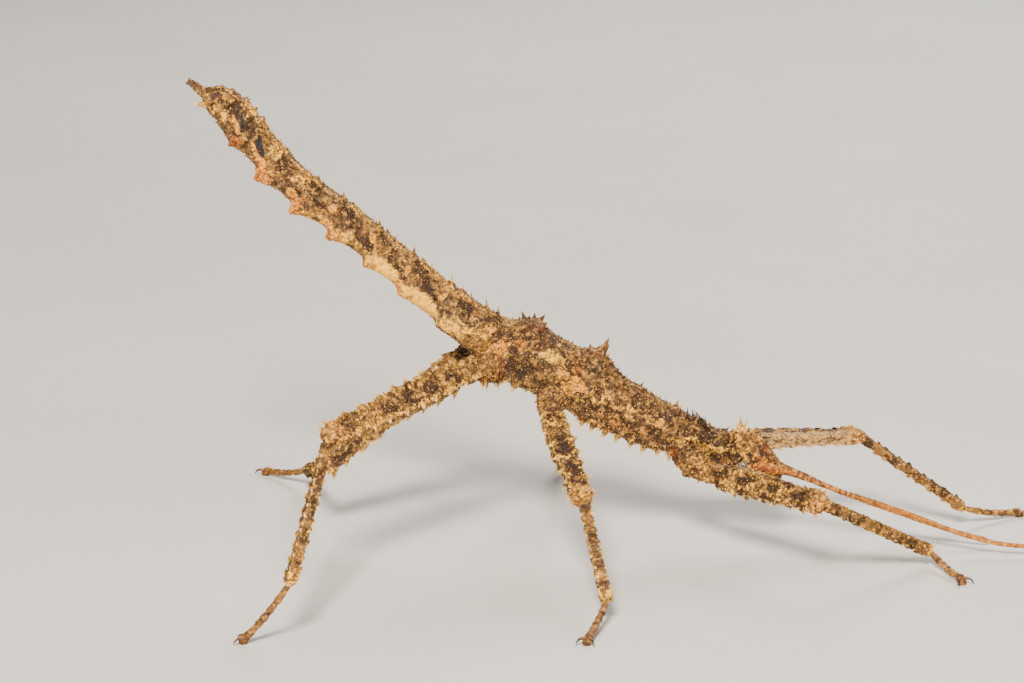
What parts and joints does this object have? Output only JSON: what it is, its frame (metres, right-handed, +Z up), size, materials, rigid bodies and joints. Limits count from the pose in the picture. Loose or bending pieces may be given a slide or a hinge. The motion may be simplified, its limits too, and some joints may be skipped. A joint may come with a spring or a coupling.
{
  "type": "spiny stick insect",
  "caption": "Life-size spiny stick insect, Obrimus bicolanus, standing with its slender abdomen raised and its feelers and fore legs held forward.",
  "frame": {"origin": "on the floor under the middle of the insect's bounding box", "axes": "+X towards the head, +Y to the insect's left, +Z up from the floor"},
  "size_m": [0.0762, 0.0584, 0.0423],
  "materials": {
    "bark_brown": "matte, granular bark-like cuticle, dark brown with pale grains",
    "head_brown": "matte, granular cuticle, reddish brown",
    "abdomen_tan": "matte, granular cuticle, tan mottled with dark brown and pale orange",
    "leg_tan": "matte, toothed cuticle, tan banded with brown",
    "foot_brown": "satin, smooth pinkish brown cuticle",
    "feeler_brown": "satin, banded orange and dark brown",
    "eye_grey": "glossy grey compound eye"
  },
  "bodies": {
    "root": {"abdomen_segment_01": "abdomen_tan", "abdomen_segment_02": "abdomen_tan", "abdomen_segment_03": "abdomen_tan", "abdomen_segment_04": "abdomen_tan", "abdomen_segment_05": "abdomen_tan", "abdomen_segment_06": "abdomen_tan", "abdomen_segment_07": "abdomen_tan", "abdomen_segment_08": "abdomen_tan", "abdomen_segment_09": "abdomen_tan", "abdomen_segment_10": "abdomen_tan", "antenna_left": "feeler_brown", "antenna_right": "feeler_brown", "coxa_fore_left": "bark_brown", "coxa_fore_right": "bark_brown", "coxa_hind_left": "bark_brown", "coxa_hind_right": "bark_brown", "coxa_mid_left": "bark_brown", "coxa_mid_right": "bark_brown", "eye_left": "eye_grey", "eye_right": "eye_grey", "femur_fore_left": "leg_tan", "femur_fore_right": "leg_tan", "femur_hind_left": "leg_tan", "femur_hind_right": "leg_tan", "femur_mid_left": "leg_tan", "femur_mid_right": "leg_tan", "head": "head_brown", "mesothorax": "bark_brown", "metathorax": "bark_brown", "prothorax": "bark_brown", "tarsus_fore_left": "foot_brown", "tarsus_fore_right": "foot_brown", "tarsus_hind_left": "foot_brown", "tarsus_hind_right": "foot_brown", "tarsus_mid_left": "foot_brown", "tarsus_mid_right": "foot_brown", "tibia_fore_left": "leg_tan", "tibia_fore_right": "leg_tan", "tibia_hind_left": "leg_tan", "tibia_hind_right": "leg_tan", "tibia_mid_left": "leg_tan", "tibia_mid_right": "leg_tan"}
  },
  "joints": []
}
